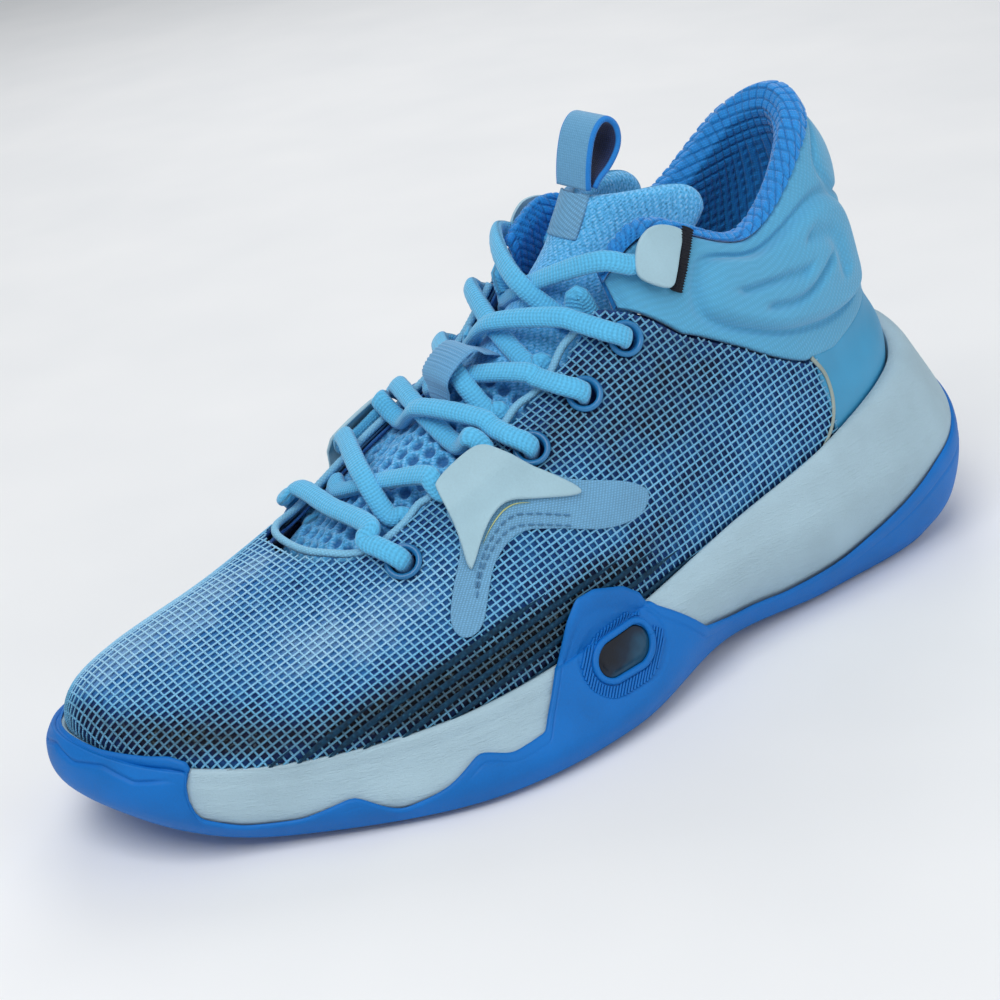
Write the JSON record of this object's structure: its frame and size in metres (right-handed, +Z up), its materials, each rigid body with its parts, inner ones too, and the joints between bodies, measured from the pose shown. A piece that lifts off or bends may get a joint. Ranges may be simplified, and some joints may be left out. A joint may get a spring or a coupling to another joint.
{
  "type": "basketball high top shoe",
  "caption": "Laced high-cut basketball shoe for the left foot: cupped foam midsole, wrapping rubber outsole, net upper, padded collar, padded tongue and pull loop.",
  "frame": {"origin": "middle of the shoe's footprint box, on the ground", "axes": "+Z up, toe towards -X, lateral (outer) side towards -Y"},
  "size_m": [0.3143, 0.1215, 0.1605],
  "materials": {
    "rubber_royal": "matt moulded rubber",
    "lens": "dark gloss",
    "midsole_foam": "matt foam with fine wrinkles",
    "shank": "matt black",
    "board": "fibre board and foam",
    "sockliner_cloth": "woven cover",
    "net": "open net of light threads",
    "underlay_knit": "navy knit with pale blotches",
    "panel_synthetic": "fine grain synthetic",
    "collar_cloth": "twill over moulded foam",
    "lining_cloth": "quilted knit",
    "piping": "smooth edge binding",
    "tongue_knit": "heathered knit",
    "fused_patch": "fused heathered film",
    "loop_webbing": "flat webbing",
    "lace_cord": "braided",
    "trim_beige": "matt",
    "wing_sheet": "pale grained sheet",
    "bar_tack": "dense thread",
    "aglet_film": "smooth film",
    "eyelet_plastic": "satin"
  },
  "bodies": {
    "shoe": {"outsole": "rubber_royal", "wing_window": "lens", "midsole": "midsole_foam", "shank_plate": "shank", "strobel_board": "board", "mesh_upper": "net", "bootie_lining": "underlay_knit", "toe_puff": "board", "heel_counter": "board", "heel_panel": "panel_synthetic", "collar_pad": "collar_cloth", "ankle_foam": "board", "collar_lining": "lining_cloth", "throat_piping": "piping", "tongue_pad": "tongue_knit", "lace": "lace_cord", "lace_keeper": "loop_webbing", "eyestay_lateral": "fused_patch", "panel_edge_trim_lateral": "trim_beige", "lace_wing_lateral": "wing_sheet", "wing_base_lateral": "fused_patch", "top_tab_lateral": "wing_sheet", "tab_bar_lateral": "bar_tack", "aglet_lateral": "aglet_film", "eyelet_lateral_1": "eyelet_plastic", "eyelet_lateral_3": "eyelet_plastic", "eyelet_lateral_4": "eyelet_plastic", "eyelet_lateral_5": "eyelet_plastic", "eyestay_medial": "fused_patch", "panel_edge_trim_medial": "trim_beige", "lace_wing_medial": "wing_sheet", "wing_base_medial": "fused_patch", "top_tab_medial": "wing_sheet", "tab_bar_medial": "bar_tack", "aglet_medial": "aglet_film", "eyelet_medial_1": "eyelet_plastic", "eyelet_medial_3": "eyelet_plastic", "eyelet_medial_4": "eyelet_plastic", "eyelet_medial_5": "eyelet_plastic"},
    "sockliner": {"sockliner": "sockliner_cloth"},
    "tongue_flap": {"tongue_top": "tongue_knit", "tongue_patch": "fused_patch"},
    "pull_loop": {"pull_loop": "loop_webbing"}
  },
  "joints": [
    {"name": "tongue_flex", "type": "hinge", "parent": "shoe", "child": "tongue_flap", "pos_m": [0.0208, 0.0025, 0.1254], "axis": [0, 1, 0], "range_deg": [-28, 0]},
    {"name": "pull_loop_flex", "type": "hinge", "parent": "tongue_flap", "child": "pull_loop", "pos_m": [0.0308, 0.0017, 0.1402], "axis": [0, 1, 0], "range_deg": [-40, 40], "stiffness_Nm_per_rad": 0.004},
    {"name": "sockliner_lift", "type": "hinge", "parent": "shoe", "child": "sockliner", "pos_m": [-0.1335, 0, 0.02], "axis": [0, -1, 0], "range_deg": [0, 6]}
  ]
}
